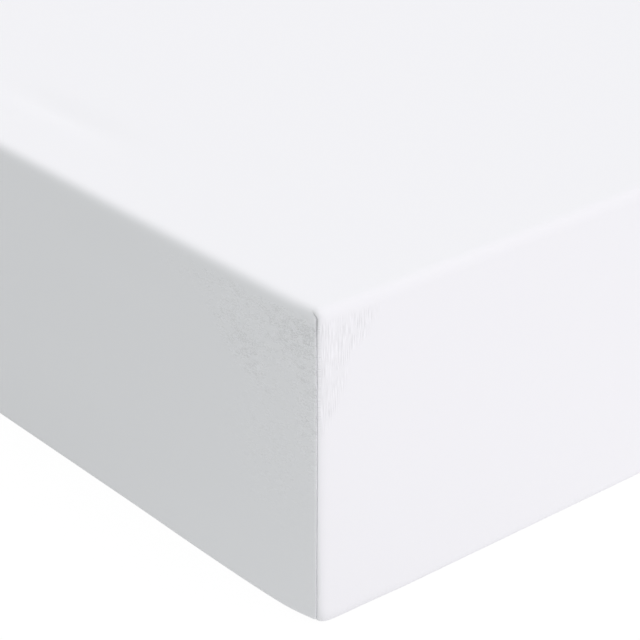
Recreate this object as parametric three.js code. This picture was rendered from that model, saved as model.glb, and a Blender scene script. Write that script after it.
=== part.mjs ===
// A knitted fitted sheet, stretched over the plain single mattress that it fits.
// Millimetres, +Z up. The origin is the middle of the underside. +X runs across the bed and +Y along it.

import * as THREE from 'three';

// The mattress, and the room that the cloth leaves round it.
const mattressWidth = 900;
const mattressLength = 2000;
const mattressThickness = 190;
const mattressCorner = 12; // radius of its upright corners
const mattressRoll = 10; // radius of its upper and lower edges
const sideRoom = 2.5; // mattress to cloth, at the sides and on top
const underRoom = 4.5; // mattress to cloth underneath, where the gathers lie

// The cloth is one cut piece: four darts are sewn into upright corner seams, and the hem is turned in
// underneath.
const clothThickness = 1.5;
const cornerRadius = { x: 10, y: 4 }; // of the upright corners, along an end and along a long side
const leastRadius = 1.5; // of the corners further in
const topSetIn = 10.5; // where the flat part of the top begins
const rimRoll = 8.5; // radius of the upper edges
const footSetIn = 6.5; // where the cloth underneath begins
const footCorner = { x: 6, y: 8 }; // its corner radii there
const turnIn = 90; // width of the cloth that lies underneath
const hemCornerRadius = 190; // the gathered hem cuts across each corner in this curve
const hemBand = 14; // width of the hem, whose cloth is double
const hemThickness = 2.4;
const hemStep = 2; // width over which the hem's second layer ends
const ruffleRise = 1.4; // low gathers beside the hem, near the corners
const ruffleReach = 130; // how far along a side they reach

// The height of the lower edges' roll, by the way along the cloth from a corner seam: below 0 on the ends.
const footRolls = [
  { along: -68, roll: 6.5 },
  { along: -52, roll: 8.3 },
  { along: -38, roll: 9.2 },
  { along: -20, roll: 9.2 },
  { along: -6, roll: 11.6 },
  { along: 0, roll: 14 },
  { along: 12, roll: 11.2 },
  { along: 25, roll: 8.6 },
  { along: 42, roll: 7.1 },
  { along: 60, roll: 6.5 },
];
const leastRoll = 6.5;
const rounderOver = 8; // the roll is a plain circle where it is this much above the least

// The corner seams are sunk in a groove, and pull the corners in along X and along Y. reach is how far that
// goes on the ends and on the long sides.
const seamTurn = 24; // degrees round a corner from its long side
const seamHalfAngle = 6; // on each side of the groove's middle
const seamDepth = 0.8;
const seamTop = 55; // degrees up the rim's roll where a seam ends
const tucks = {
  x: { depth: 2.1, reachOnEnd: 20, reachOnSide: 36 },
  y: { depth: 0.8, reachOnEnd: 55, reachOnSide: 20 },
};

// The taut cloth is a little uneven. Its rim lies lower at the corners and along the long sides.
const cornerDrop = 1.5;
const longSideDrop = 2.5;

// Soft bellies and dents in the upright faces. wall is the way that the face looks, in degrees from +X, and
// along is measured from the face's middle towards +X or +Y. out is negative for a dent. reach and rise are
// half sizes.
const swells = [
  { wall: 180, along: -815, height: 164, out: -1, reach: 105, rise: 26 },
  { wall: 180, along: -815, height: 125, out: -0.8, reach: 130, rise: 65 },
  { wall: 180, along: -900, height: 10, out: 0.5, reach: 85, rise: 26 },
  { wall: 180, along: -765, height: 48, out: 0.8, reach: 120, rise: 42 },
  { wall: 180, along: -250, height: 90, out: -0.8, reach: 260, rise: 75 },
  { wall: 180, along: 480, height: 70, out: 0.8, reach: 240, rise: 60 },
  { wall: 0, along: -600, height: 110, out: -0.8, reach: 240, rise: 70 },
  { wall: 0, along: 150, height: 60, out: 0.8, reach: 260, rise: 50 },
  { wall: 0, along: 740, height: 150, out: -0.7, reach: 150, rise: 40 },
  { wall: 270, along: -250, height: 55, out: 0.5, reach: 150, rise: 45 },
  { wall: 270, along: 140, height: 110, out: -0.6, reach: 200, rise: 70 },
  { wall: 90, along: -160, height: 90, out: -0.7, reach: 200, rise: 75 },
  { wall: 90, along: 230, height: 60, out: 0.5, reach: 140, rise: 50 },
];

// Soft hollows in the top. The first is a crease that runs beside one long side, near its corner.
const hollows = [
  { x: -395, y: -690, depth: 1.8, reachX: 18, reachY: 95 },
  { x: -180, y: -300, depth: 0.7, reachX: 200, reachY: 330 },
  { x: 160, y: 380, depth: 0.8, reachX: 210, reachY: 380 },
];

// How finely each piece is divided: the strips widen away from the corners, and the corners turn in steps.
const clothDivision = { firstStep: 12, growth: 1.25, longestStep: 110, cornerStep: 9 };
const mattressDivision = { firstStep: 60, growth: 1.5, longestStep: 220, cornerStep: 15 };
const rimTurns = [90, 67.5, 45, 22.5, 0];
const wallShares = [0.12, 0.35, 0.65, 0.88, 1];
const footTurns = [-30, -60, -90];
const hemStart = 1 - hemBand / turnIn;
const underShares = [0.3, 0.6, hemStart, 1];
const insideUnderShares = [1, hemStart, hemStart - hemStep / turnIn, 0.45, 0];
const insideFootTurns = [-45, 0];
const insideWallShares = [0.88, 0.5, 0.12];
const insideRimTurns = [0, 45, 90];

const clothFace = {
  x: mattressWidth / 2 + sideRoom + clothThickness,
  y: mattressLength / 2 + sideRoom + clothThickness,
};
const mattressFoot = clothThickness + underRoom;
const mattressTop = mattressFoot + mattressThickness;
const clothTop = mattressTop + sideRoom + clothThickness;

// Helpers

const radians = (degrees) => THREE.MathUtils.degToRad(degrees);
const mix = (start, end, share) => THREE.MathUtils.lerp(start, end, share);
const ease = (value) => THREE.MathUtils.smoothstep(value, 0, 1);

// 1 at the middle of a soft shape, falling to 0 at its reach and beyond.
const bump = (offset, reach) => 0.5 + 0.5 * Math.cos(Math.PI * Math.min(Math.abs(offset) / reach, 1));

// A soft edge, |x|^3 + |y|^3 = 1: how far out it bulges past a circle at this turn, and the way that it faces
// once it is stretched to its sizes.
function softEdge(turn, size = { x: 1, y: 1 }) {
  const x = Math.cos(radians(turn));
  const y = Math.sin(radians(turn));
  const bulge = (Math.abs(x) ** 3 + Math.abs(y) ** 3) ** (-1 / 3);
  const facing = THREE.MathUtils.radToDeg(Math.atan2((y * Math.abs(y)) / size.y, (x * Math.abs(x)) / size.x));
  return { bulge, facing };
}

// A closed surface, made of rings of points round the bed and of grids of points across it, which reach to
// straight.x and straight.y.
class Skin {
  constructor(straight, division, cornerTurns) {
    this.lines = { x: sideLines(straight.x, division), y: sideLines(straight.y, division) };
    this.columns = makeColumns(this.lines, cornerTurns);
    this.points = [];
    this.faces = [];
  }

  addPoint(x, y, z) {
    this.points.push(x, y, z);
    return this.points.length / 3 - 1;
  }

  addFace(...corners) {
    if (new Set(corners).size === 3) {
      this.faces.push(...corners);
    }
  }

  // A grid across the bed, whose height is heightAt(x, y). It returns the grid's outline as a ring.
  addGrid(heightAt, facesUp) {
    const grid = this.lines.x.map((x) => this.lines.y.map((y) => this.addPoint(x, y, heightAt(x, y))));
    for (let i = 1; i < grid.length; i += 1) {
      for (let j = 1; j < grid[i].length; j += 1) {
        const [a, b, c, d] = [grid[i - 1][j - 1], grid[i][j - 1], grid[i][j], grid[i - 1][j]];
        this.addFace(...(facesUp ? [a, b, c] : [a, c, b]));
        this.addFace(...(facesUp ? [a, c, d] : [a, d, c]));
      }
    }
    return this.columns.map((column) => grid[column.i][column.j]);
  }

  addRing(pointAt) {
    return this.columns.map((column) => this.addPoint(...pointAt(column).toArray()));
  }

  joinRings(upper, lower) {
    upper.forEach((corner, index) => {
      const next = (index + 1) % upper.length;
      this.addFace(lower[index], lower[next], upper[next]);
      this.addFace(lower[index], upper[next], corner);
    });
  }

  // The whole surface: a grid on top, rings down the outside and on round, and a last grid that looks down.
  close(topHeight, rings, lastHeight) {
    const outline = this.addGrid(topHeight, true);
    const last = rings.reduce((upper, pointAt) => {
      const lower = this.addRing(pointAt);
      this.joinRings(upper, lower);
      return lower;
    }, outline);
    this.joinRings(last, this.addGrid(lastHeight, false));
    const geometry = new THREE.BufferGeometry();
    geometry.setAttribute('position', new THREE.Float32BufferAttribute(this.points, 3));
    geometry.setIndex(this.faces);
    geometry.computeVertexNormals();
    return geometry;
  }
}

// Where the strips of a skin lie

// Positions along one side's straight stretch, from end to end.
function sideLines(halfLength, { firstStep, growth, longestStep }) {
  const distances = [0];
  let step = firstStep;
  while (distances.at(-1) + step < halfLength) {
    distances.push(distances.at(-1) + step);
    step = Math.min(step * growth, longestStep);
  }
  const middle = distances.at(-1) + step / 2;
  const lower = distances.map((distance) => (distance / middle - 1) * halfLength);
  return [...lower, ...lower.map((position) => -position).reverse()];
}

// The turns of one corner, from its long side. The cloth's have its seam among them.
function cornerTurns({ cornerStep }) {
  return Array.from({ length: 90 / cornerStep + 1 }, (_, index) => index * cornerStep);
}

function seamTurns() {
  const edges = [seamTurn - seamHalfAngle, seamTurn + seamHalfAngle];
  const others = cornerTurns(clothDivision).filter((turn) => turn < edges[0] || turn > edges[1]);
  return [...others, edges[0], seamTurn, edges[1]].sort((a, b) => a - b);
}

// The columns of a skin, anticlockwise from above. i and j are the lines of the grid that a column meets, and
// across and length are its shares of the grid's half sizes. turn is the way that it looks, and local is its
// turn from the corner's long side. steps counts gathers from the corner.
function makeColumns(lines, turns) {
  const lastI = lines.x.length - 1;
  const lastJ = lines.y.length - 1;
  const columns = [];

  function addColumn(turn, i, j, steps, local = null) {
    const [x, y] = [lines.x[i], lines.y[j]];
    const fromCorner = Math.max(lines.x[lastI] - Math.abs(x), lines.y[lastJ] - Math.abs(y));
    const [across, length] = [x / lines.x[lastI], y / lines.y[lastJ]];
    columns.push({ turn, i, j, x, y, across, length, steps, fromCorner, local });
  }

  function addCorner(start, i, j) {
    const fromLong = start % 180 === 0;
    const ordered = fromLong ? turns : turns.map((turn) => 90 - turn).reverse();
    ordered.forEach((turn) => addColumn(start + turn, i, j, turn / 9, fromLong ? turn : 90 - turn));
  }

  for (let j = 1; j < lastJ; j += 1) {
    addColumn(0, lastI, j, Math.min(j, lastJ - j));
  }
  addCorner(0, lastI, lastJ);
  for (let i = lastI - 1; i > 0; i -= 1) {
    addColumn(90, i, lastJ, Math.min(i, lastI - i));
  }
  addCorner(90, 0, lastJ);
  for (let j = lastJ - 1; j > 0; j -= 1) {
    addColumn(180, 0, j, Math.min(j, lastJ - j));
  }
  addCorner(180, 0, 0);
  for (let i = 1; i < lastI; i += 1) {
    addColumn(270, i, 0, Math.min(i, lastI - i));
  }
  addCorner(270, lastI, 0);
  return columns;
}

// Points of a skin

// The point of one column on a ring that lies setIn inside the half sizes and whose corners have these radii.
function ringPoint(half, column, setIn, radius, z, bulge = 1) {
  const turn = radians(column.turn);
  return new THREE.Vector3(
    column.across * (half.x - setIn - radius.x) + radius.x * bulge * Math.cos(turn),
    column.length * (half.y - setIn - radius.y) + radius.y * bulge * Math.sin(turn),
    z,
  );
}

// A point of the cloth's upright faces or rim, whose corners grow sharper further in.
function facePoint(column, setIn, z) {
  const radius = {
    x: Math.max(cornerRadius.x - setIn, leastRadius),
    y: Math.max(cornerRadius.y - setIn, leastRadius),
  };
  return ringPoint(clothFace, column, setIn, radius, z, softEdge(column.turn).bulge);
}

// Gives each column of the cloth the way that it faces, and its way along the cloth from the nearest seam,
// which is below 0 on the ends.
function measureAlong(columns) {
  const outline = columns.map((column) => facePoint(column, 0, 0));
  const places = [0];
  outline.slice(1).forEach((point, index) => {
    places.push(places.at(-1) + point.distanceTo(outline[index]));
  });
  const whole = places.at(-1) + outline[0].distanceTo(outline.at(-1));
  const seams = places.filter((place, index) => columns[index].local === seamTurn);
  columns.forEach((column, index) => {
    const ways = seams.map((place) => {
      return THREE.MathUtils.euclideanModulo(places[index] - place + whole / 2, whole) - whole / 2;
    });
    const sizes = ways.map(Math.abs);
    const nearest = sizes.indexOf(Math.min(...sizes));
    column.along = nearest % 2 === 0 ? -ways[nearest] : ways[nearest];
    column.facing = softEdge(column.turn, cornerRadius).facing;
  });
}

// How far the top lies below its highest level.
function topDrop(x, y) {
  const acrossShare = (x / clothFace.x) ** 2;
  const lengthShare = (y / clothFace.y) ** 2;
  return acrossShare * mix(longSideDrop, cornerDrop, lengthShare);
}

function hollowDepth(x, y) {
  const depths = hollows.map(
    (hollow) => hollow.depth * bump(x - hollow.x, hollow.reachX) * bump(y - hollow.y, hollow.reachY),
  );
  return depths.reduce((total, depth) => total + depth, 0);
}

// The cloth. depth is how far below its outer face a surface lies.

const clothHeight = (depth) => (x, y) => clothTop - depth - topDrop(x, y) - hollowDepth(x, y);

// The height of the foot's roll at one column, between the table's rows.
function footRoll({ along }) {
  const after = footRolls.findIndex((row) => row.along >= along);
  if (after <= 0) {
    return leastRoll;
  }
  const [from, to] = [footRolls[after - 1], footRolls[after]];
  return mix(from.roll, to.roll, (along - from.along) / (to.along - from.along));
}

// How far the seams pull the cloth in at one column. It falls with the square of the way from the seam.
function pulledIn(column, { depth, reachOnEnd, reachOnSide }) {
  const reach = column.along < 0 ? reachOnEnd : reachOnSide;
  return depth * Math.max(1 - Math.abs(column.along) / reach, 0) ** 2;
}

// How far a face swells out at one column and height.
function swellOut(column, z) {
  const position = column.turn % 180 === 0 ? column.y : column.x;
  return swells
    .filter(({ wall }) => wall === column.turn)
    .map(({ along, height, out, reach, rise }) => {
      return out * bump(position - along, reach) * bump(z - height, rise);
    })
    .reduce((total, out) => total + out, 0);
}

// How deep the corner seam is sunk at one column. Its top end fades out on the rim's roll.
function seamSink(column, facing) {
  return column.local === seamTurn ? seamDepth * ease((seamTop - facing) / (seamTop / 2)) : 0;
}

// The same point, pulled in towards the seam and moved along the cloth's own outward direction by its swell
// and its seam. share is how much of the pull reaches it.
function uneven(point, column, facing, share) {
  point.x -= Math.sign(point.x) * share * pulledIn(column, tucks.x);
  point.y -= Math.sign(point.y) * share * pulledIn(column, tucks.y);
  const [around, up] = [radians(column.facing), radians(facing)];
  const flat = Math.cos(up);
  const outward = new THREE.Vector3(flat * Math.cos(around), flat * Math.sin(around), Math.sin(up));
  const aboveFloor = ease((facing + 88) / 40);
  return point.addScaledVector(outward, aboveFloor * (swellOut(column, point.z) - seamSink(column, facing)));
}

// turn is 90 where the rim meets the top and 0 at the side.
const rimRing = (depth) => (turn) => (column) => {
  const { bulge, facing } = softEdge(turn);
  const out = bulge * Math.cos(radians(turn));
  const up = bulge * Math.sin(radians(turn));
  const roll = rimRoll - depth;
  const point = facePoint(column, depth + roll * (1 - out), clothTop - rimRoll + roll * up);
  point.z -= topDrop(point.x, point.y);
  return uneven(point, column, facing, out);
};

const wallRing = (depth) => (share) => (column) => {
  const point = facePoint(column, depth, 0);
  const upperZ = clothTop - rimRoll - topDrop(point.x, point.y);
  point.z = mix(upperZ, footRoll(column), share);
  return uneven(point, column, 0, 1);
};

// The outline where the cloth underneath begins.
const basePoint = (column) => ringPoint(clothFace, column, footSetIn, footCorner, 0);

// turn is 0 at the side and -90 underneath. The roll is soft, and rounder where it is higher.
const footRing = (depth) => (turn) => (column) => {
  const roll = footRoll(column);
  const soft = softEdge(turn);
  const rounder = Math.min((roll - leastRoll) / rounderOver, 1);
  const bulge = mix(soft.bulge, 1, rounder);
  const point = basePoint(column).lerp(facePoint(column, depth, 0), bulge * Math.cos(radians(turn)));
  point.z = roll + (roll - depth) * bulge * Math.sin(radians(turn));
  return uneven(point, column, mix(soft.facing, turn, rounder), 1);
};

// The cloth underneath, from the foot's roll at share 0 to the hem's edge at share 1.
const underRing = (thicknessAt) => (share) => (column) => {
  const hemCorner = { x: hemCornerRadius, y: hemCornerRadius };
  const point = basePoint(column).lerp(ringPoint(clothFace, column, turnIn, hemCorner, 0), share);
  const gather = 0.5 - 0.5 * Math.cos(Math.PI * column.steps);
  const nearCorner = ease(1 - column.fromCorner / ruffleReach);
  point.z = thicknessAt(share) + ruffleRise * gather * nearCorner * share ** 2;
  return uneven(point, column, -90, 1 - share);
};

const insideThickness = (share) => (share < hemStart ? clothThickness : hemThickness);

function sheetGeometry() {
  const rings = [
    ...rimTurns.map(rimRing(0)),
    ...wallShares.map(wallRing(0)),
    ...footTurns.map(footRing(0)),
    ...underShares.map(underRing(() => 0)),
    ...insideUnderShares.map(underRing(insideThickness)),
    ...insideFootTurns.map(footRing(clothThickness)),
    ...insideWallShares.map(wallRing(clothThickness)),
    ...insideRimTurns.map(rimRing(clothThickness)),
  ];
  const straight = { x: clothFace.x - topSetIn, y: clothFace.y - topSetIn };
  const skin = new Skin(straight, clothDivision, seamTurns());
  measureAlong(skin.columns);
  return skin.close(clothHeight(0), rings, clothHeight(clothThickness));
}

// The mattress, plain, with soft corners and edges.

function mattressGeometry() {
  const half = { x: mattressWidth / 2, y: mattressLength / 2 };
  const edgePoint = (column, centreZ, turn) => {
    const setIn = mattressRoll * (1 - Math.cos(radians(turn)));
    const radius = { x: mattressCorner - setIn, y: mattressCorner - setIn };
    return ringPoint(half, column, setIn, radius, centreZ + mattressRoll * Math.sin(radians(turn)));
  };
  const upperRing = (turn) => (column) => {
    const point = edgePoint(column, mattressTop - mattressRoll, turn);
    point.z -= topDrop(point.x, point.y);
    return point;
  };
  const lowerRing = (turn) => (column) => edgePoint(column, mattressFoot + mattressRoll, turn);
  const rings = [...[90, 45, 0].map(upperRing), ...[0, -45, -90].map(lowerRing)];
  const topHeight = (x, y) => mattressTop - topDrop(x, y);
  const straight = { x: half.x - mattressCorner, y: half.y - mattressCorner };
  const skin = new Skin(straight, mattressDivision, cornerTurns(mattressDivision));
  return skin.close(topHeight, rings, () => mattressFoot);
}

// Finishes

function knittedCotton() {
  return new THREE.MeshStandardMaterial({ color: 0xf4f3f7, roughness: 0.95, metalness: 0 });
}

function mattressCover() {
  return new THREE.MeshStandardMaterial({ color: 0xe6e4de, roughness: 0.9, metalness: 0 });
}

function piece(name, geometry, material) {
  const mesh = new THREE.Mesh(geometry, material);
  mesh.name = name;
  return mesh;
}

const bed = new THREE.Group();
bed.add(piece('fitted_sheet', sheetGeometry(), knittedCotton()));
bed.add(piece('mattress', mattressGeometry(), mattressCover()));

export default bed;
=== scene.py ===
import math

import bpy
import numpy as np
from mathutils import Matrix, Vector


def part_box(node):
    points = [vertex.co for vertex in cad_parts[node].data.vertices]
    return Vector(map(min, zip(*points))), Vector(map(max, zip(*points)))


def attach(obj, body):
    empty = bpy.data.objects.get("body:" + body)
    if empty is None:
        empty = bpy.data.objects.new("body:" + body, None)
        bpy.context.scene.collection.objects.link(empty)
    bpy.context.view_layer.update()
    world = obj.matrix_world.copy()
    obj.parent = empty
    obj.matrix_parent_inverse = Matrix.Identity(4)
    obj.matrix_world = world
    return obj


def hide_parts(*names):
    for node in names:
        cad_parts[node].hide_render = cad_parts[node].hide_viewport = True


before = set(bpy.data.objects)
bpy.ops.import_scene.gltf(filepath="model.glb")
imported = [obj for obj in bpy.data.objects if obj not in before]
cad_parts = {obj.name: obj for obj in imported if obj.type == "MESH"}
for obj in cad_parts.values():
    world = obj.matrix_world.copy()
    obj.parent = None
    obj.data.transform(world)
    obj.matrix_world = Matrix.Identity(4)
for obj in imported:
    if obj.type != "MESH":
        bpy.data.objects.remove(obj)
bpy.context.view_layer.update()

# A white jersey sheet stretched over a single mattress. Metres, +Z up, +X across the bed and +Y along it.

bedLow, bedHigh = (np.array(corner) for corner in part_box("mattress"))
sheetLow, sheetHigh = (np.array(corner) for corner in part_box("fitted_sheet"))


# Small helpers

def mix(start, end, share):
    # a straight blend: start + (end - start) times the share
    return start + (end - start) * share


def ease(value):
    # 0 to 1, slow at both ends: 3t^2 - 2t^3
    t = np.clip(value, 0, 1)
    return t * t * (3 - 2 * t)


def bump(offset, reach):
    # a raised cosine: 1 in the middle, 0 at the reach and beyond
    return 0.5 + 0.5 * np.cos(np.pi * np.minimum(np.abs(offset) / reach, 1))


def bell(offset, width):
    # a bell curve: e^(-(offset / width)^2)
    return np.exp(-((offset / width) ** 2))


def softEdge(turn, sizes=(1, 1)):
    # A soft edge, |x|^3 + |y|^3 = 1, at polar angles in degrees: how far out it bulges past the circle, and
    # the way that it faces once it is stretched to its sizes: (x|x| / size, y|y| / size), x the cosine.
    x, y = np.cos(np.radians(turn)), np.sin(np.radians(turn))
    bulge = (np.abs(x) ** 3 + np.abs(y) ** 3) ** (-1 / 3)
    return bulge, np.degrees(np.arctan2(y * np.abs(y) / sizes[1], x * np.abs(x) / sizes[0]))


def addNode(tree, kind, inputs=None, **settings):
    # a node with its settings, whose sockets take a value or a link
    made = tree.nodes.new(kind)
    for key, value in settings.items():
        setattr(made, key, value)
    for key, value in (inputs or {}).items():
        if isinstance(value, bpy.types.NodeSocket):
            tree.links.new(value, made.inputs[key])
        else:
            made.inputs[key].default_value = value
    return made


def calculate(tree, operation, *values):
    # the result of a Math node
    return addNode(tree, "ShaderNodeMath", dict(enumerate(values)), operation=operation).outputs[0]


def addPiece(name, points, faces, material):
    # faces is a list of index arrays, each with its own count of corners
    mesh = bpy.data.meshes.new(name)
    mesh.from_pydata(points.tolist(), [], [face for group in faces for face in group.tolist()])
    mesh.shade_smooth()
    mesh.materials.append(material)
    piece = bpy.data.objects.new(name, mesh)
    bpy.context.scene.collection.objects.link(piece)
    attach(piece, "root")
    return piece


# Shells round the bed: grids of points across it, and rings of points round it.

def sideLines(half, count, crowd):
    # positions from -half to half that crowd at both ends: t blended with sin(pi t / 2)
    t = np.linspace(-1, 1, count)
    return half * mix(t, np.sin(np.pi / 2 * t), crowd)


def makeColumns(lines, turns):
    # The places round the bed, anticlockwise: each side's own lines, then the turns of the corner after it,
    # which are given from the long side. x and y are the grid's point that a column starts from, polar is
    # its turn in degrees, local is its turn from the side before it, and i and j are its line of the grids.
    lastI, lastJ = len(lines[0]) - 1, len(lines[1]) - 1
    alongI, alongJ = np.arange(1, lastI), np.arange(1, lastJ)
    sides = [
        (np.full(lastJ - 1, lastI), alongJ),
        (alongI[::-1], np.full(lastI - 1, lastJ)),
        (np.zeros(lastJ - 1, int), alongJ[::-1]),
        (alongI, np.zeros(lastI - 1, int)),
    ]
    corners = [(lastI, lastJ), (0, lastJ), (0, 0), (lastI, 0)]
    i, j, polar, local, quarter = [], [], [], [], []
    for side in range(4):
        sideI, sideJ = sides[side]
        turns = 90 - turns[::-1] if side else turns
        i += [sideI, np.full(len(turns), corners[side][0])]
        j += [sideJ, np.full(len(turns), corners[side][1])]
        polar += [np.full(len(sideI), 90.0 * side), 90.0 * side + turns]
        local += [np.full(len(sideI), np.nan), turns]
        quarter += [np.full(len(sideI) + len(turns), side)]
    columns = {"i": i, "j": j, "polar": polar, "local": local, "quarter": quarter}
    columns = {key: np.concatenate(parts) for key, parts in columns.items()}
    columns["x"] = lines[0][columns["i"]]
    columns["y"] = lines[1][columns["j"]]
    return columns


def ringXY(plan, columns, setIn, radius, bulge=1):
    # A rectangle with rounded corners: the grid's point scaled to the turn's centre, plus the radius in the
    # column's direction. The set-in and the radius are pairs, for x and for y.
    polar = np.radians(columns["polar"])
    shareX, shareY = columns["x"] / columns["x"].max(), columns["y"] / columns["y"].max()
    x = shareX * (plan["halfX"] - setIn[0] - radius[0]) + radius[0] * bulge * np.cos(polar)
    y = shareY * (plan["halfY"] - setIn[1] - radius[1]) + radius[1] * bulge * np.sin(polar)
    return x, y


def shellFaces(columns, lines, ringCount):
    # Point numbers run over the first grid, the rings and the last grid. The chain lists them ring by ring,
    # with the outlines of both grids at its ends, and the faces between two rings run round the bed.
    nI, nJ = len(lines[0]), len(lines[1])
    firstGrid = np.arange(nI * nJ).reshape(nI, nJ)
    ringPoints = nI * nJ + np.arange(ringCount * len(columns["i"])).reshape(ringCount, -1)
    lastGrid = firstGrid + nI * nJ + ringPoints.size
    outline = columns["i"], columns["j"]
    chain = np.vstack([firstGrid[outline], ringPoints, lastGrid[outline]])

    def gridQuads(grid):
        return np.stack([grid[:-1, :-1], grid[1:, :-1], grid[1:, 1:], grid[:-1, 1:]], axis=-1).reshape(-1, 4)

    row, column = np.indices((len(chain) - 1, chain.shape[1]))
    following = (column + 1) % chain.shape[1]
    cornerRow = np.stack([row + 1, row + 1, row, row], axis=-1).reshape(-1, 4)
    cornerColumn = np.stack([column, following, following, column], axis=-1).reshape(-1, 4)
    quads = chain[cornerRow, cornerColumn]
    pointedUp = quads[:, 2] == quads[:, 3]
    pointedDown = quads[:, 0] == quads[:, 1]
    whole = ~(pointedUp | pointedDown)
    corners = [np.s_[whole, :], np.s_[pointedUp, :3], np.s_[pointedDown, 1:]]
    return {
        "grids": [gridQuads(firstGrid), gridQuads(lastGrid)[:, ::-1]],
        "faces": [quads[pick] for pick in corners],
        "rows": [cornerRow[pick] for pick in corners],
        "columns": [cornerColumn[pick] for pick in corners],
        "first": [column.ravel()[pick[0]] for pick in corners],
    }


def gridPoints(lines, heightAt):
    # the crossings of the lines, each at the height that heightAt gives for its x and y
    x, y = np.meshgrid(*lines, indexing="ij")
    return np.stack([x, y, heightAt(x, y)], axis=-1).reshape(-1, 3)


# The sheet

cloth = {
    "halfX": bedHigh[0] + 0.004,  # to the cloth's outer face
    "halfY": bedHigh[1] + 0.004,
    "top": round(float(sheetHigh[2]), 3),
    "thickness": 0.0010,
    "cornerRadius": (0.010, 0.004),  # along an end and along a long side
    "leastRadius": 0.0015,  # of the corners where the rim is set in
    "topSetIn": 0.0105,  # of the flat part of the top
    "rimRoll": 0.0085,
    # the lower edge's roll, by the way along the cloth from a corner's seam: below 0 on the ends of the bed
    "footPlaces": [
        -0.068, -0.052, -0.038, -0.020, -0.012, -0.006,
        0.0, 0.006, 0.012, 0.025, 0.042, 0.060,
    ],
    "footRolls": [
        0.0065, 0.0083, 0.0092, 0.0092, 0.0098, 0.0116,
        0.0140, 0.0128, 0.0112, 0.0086, 0.0071, 0.0065,
    ],
    "roundOver": 0.008,  # its roll is a true quarter circle where it is this much over its least
    # How far the seams pull the corners in along X and Y, and how far along the ends and the long sides each
    # of them reaches. The second is a narrow one beside the seam.
    "tucks": [
        {"by": (0.0021, 0.0008), "reach": ((0.020, 0.036), (0.055, 0.020))},
        {"by": (0.0004, 0.0), "reach": ((0.020, 0.0050), (0.020, 0.020))},
    ],
    "baseCorner": (0.006, 0.008),  # the outline underneath has these rounded corners
    "turnIn": 0.090,  # width of the cloth underneath
    "hemCornerRadius": 0.190,
    "hemBand": 0.014,
    "hemThickness": 0.0020,
    "hemStep": 0.0020,  # over which the cloth is doubled
    "hemStitchRows": (0.003, 0.0095),  # from the hem's edge
    "hemStitchSink": 0.0004,
    "hemStitchReach": 0.0006,
    "cornerDrop": 0.0015,  # how much lower the top lies at the corners
    "longSideDrop": 0.0025,  # and at the middle of the long sides
    "flatTurn": -88,  # degrees down the lower edge's roll where the cloth lies flat
    "swellFade": 40,  # degrees up from there over which the faces' unevenness sets in
    "knitTurns": 0.3,  # share of the cloth underneath over which its knit turns with the bed
    "linesAcross": 90,
    "linesAlong": 96,
    "crowd": 0.8,  # how much the lines crowd at the edges
    "turnsPerCorner": 67,
    "turnCrowd": 3,  # and the corners' turns at their seams
    "rimRings": 13,
    "wallRings": 48,
    "footRings": 7,
    # the rings underneath, from the hem's edge
    "hemRings": [
        0.080, 0.062, 0.045, 0.030, 0.020, 0.014, 0.012, 0.0105,
        0.0095, 0.0085, 0.006, 0.004, 0.003, 0.002, 0.0,
    ],
    # and the fewer ones of the inner face
    "innerRimRings": 9,
    "innerWall": [0.03, 0.07, 0.2, 0.4, 0.6, 0.8, 1],
    "innerFoot": [-45, -90],
    "innerHemRings": [0.0675, 0.045, 0.027, 0.016, 0.013, 0.0],
    "flat": (1.50, 2.60),  # the cut, whose corners lose a square each
    "cornerCut": 0.29,
}

# Soft bellies and dents of the upright faces: the way that the face looks in degrees from +X, the place
# along it and its height, how far it swells out, and its half sizes.
swells = [
    {"wall": 180, "along": -0.815, "height": 0.164, "out": -0.0010, "reach": 0.105, "rise": 0.026},
    {"wall": 180, "along": -0.815, "height": 0.125, "out": -0.0008, "reach": 0.130, "rise": 0.065},
    {"wall": 180, "along": -0.900, "height": 0.010, "out": 0.0005, "reach": 0.085, "rise": 0.026},
    {"wall": 180, "along": -0.765, "height": 0.048, "out": 0.0008, "reach": 0.120, "rise": 0.042},
    {"wall": 180, "along": -0.250, "height": 0.090, "out": -0.0008, "reach": 0.260, "rise": 0.075},
    {"wall": 180, "along": 0.480, "height": 0.070, "out": 0.0008, "reach": 0.240, "rise": 0.060},
    {"wall": 0, "along": -0.600, "height": 0.110, "out": -0.0008, "reach": 0.240, "rise": 0.070},
    {"wall": 0, "along": 0.150, "height": 0.060, "out": 0.0008, "reach": 0.260, "rise": 0.050},
    {"wall": 0, "along": 0.740, "height": 0.150, "out": -0.0007, "reach": 0.150, "rise": 0.040},
    {"wall": 270, "along": -0.250, "height": 0.055, "out": 0.0005, "reach": 0.150, "rise": 0.045},
    {"wall": 270, "along": 0.140, "height": 0.110, "out": -0.0006, "reach": 0.200, "rise": 0.070},
    {"wall": 90, "along": -0.160, "height": 0.090, "out": -0.0007, "reach": 0.200, "rise": 0.075},
    {"wall": 90, "along": 0.230, "height": 0.060, "out": 0.0005, "reach": 0.140, "rise": 0.050},
]

# Soft hollows of the top. The first is a crease beside a long side.
hollows = [
    {"x": -0.395, "y": -0.690, "depth": 0.0018, "reachX": 0.018, "reachY": 0.095},
    {"x": -0.180, "y": -0.300, "depth": 0.0007, "reachX": 0.200, "reachY": 0.330},
    {"x": 0.160, "y": 0.380, "depth": 0.0008, "reachX": 0.210, "reachY": 0.380},
]

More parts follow.
